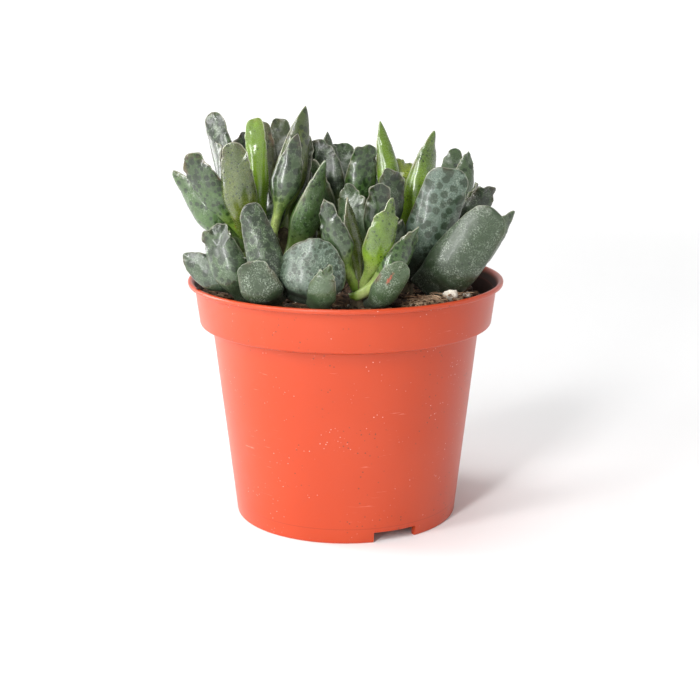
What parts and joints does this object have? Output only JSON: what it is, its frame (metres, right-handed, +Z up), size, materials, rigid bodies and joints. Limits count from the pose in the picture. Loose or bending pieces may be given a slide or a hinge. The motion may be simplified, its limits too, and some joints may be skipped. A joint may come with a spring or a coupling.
{
  "type": "potted plover eggs plant",
  "caption": "Low clump of thick spotted leaves with crisped tips on short stems, in soil in a small round plastic nursery pot.",
  "frame": {"origin": "middle of the flat pad under the pot, on the surface it stands on", "axes": "+Z up, -Y towards the viewer of the picture, +X to the viewer's right"},
  "size_m": [0.0943, 0.09, 0.1172],
  "materials": {
    "pot_plastic": "satin moulded plastic",
    "potting_mix": "dull and fibrous",
    "leaf": "waxy with a grey bloom and dark spots",
    "young_leaf": "waxy and glossy",
    "perlite": "dull and rough",
    "bark": "dull and rough"
  },
  "bodies": {
    "root": {"pot": "pot_plastic", "soil": "potting_mix", "shoot_left": "leaf", "shoot_upper_middle": "leaf", "shoot_centre": "young_leaf", "shoot_behind_centre": "leaf", "shoot_middle_back": "leaf", "shoot_right": "young_leaf", "shoot_right_back": "leaf", "shoot_front_right": "leaf", "shoot_front_left": "leaf", "shoot_front_middle": "leaf", "shoot_front_low": "leaf", "shoot_back_left": "leaf", "shoot_back_middle": "leaf", "shoot_back_right": "leaf", "shoot_back_far": "leaf", "perlite_chip_front": "perlite", "perlite_chip_right": "perlite", "perlite_chip_back": "perlite", "bark_chip_middle": "bark", "bark_chip_right": "bark"}
  },
  "joints": []
}
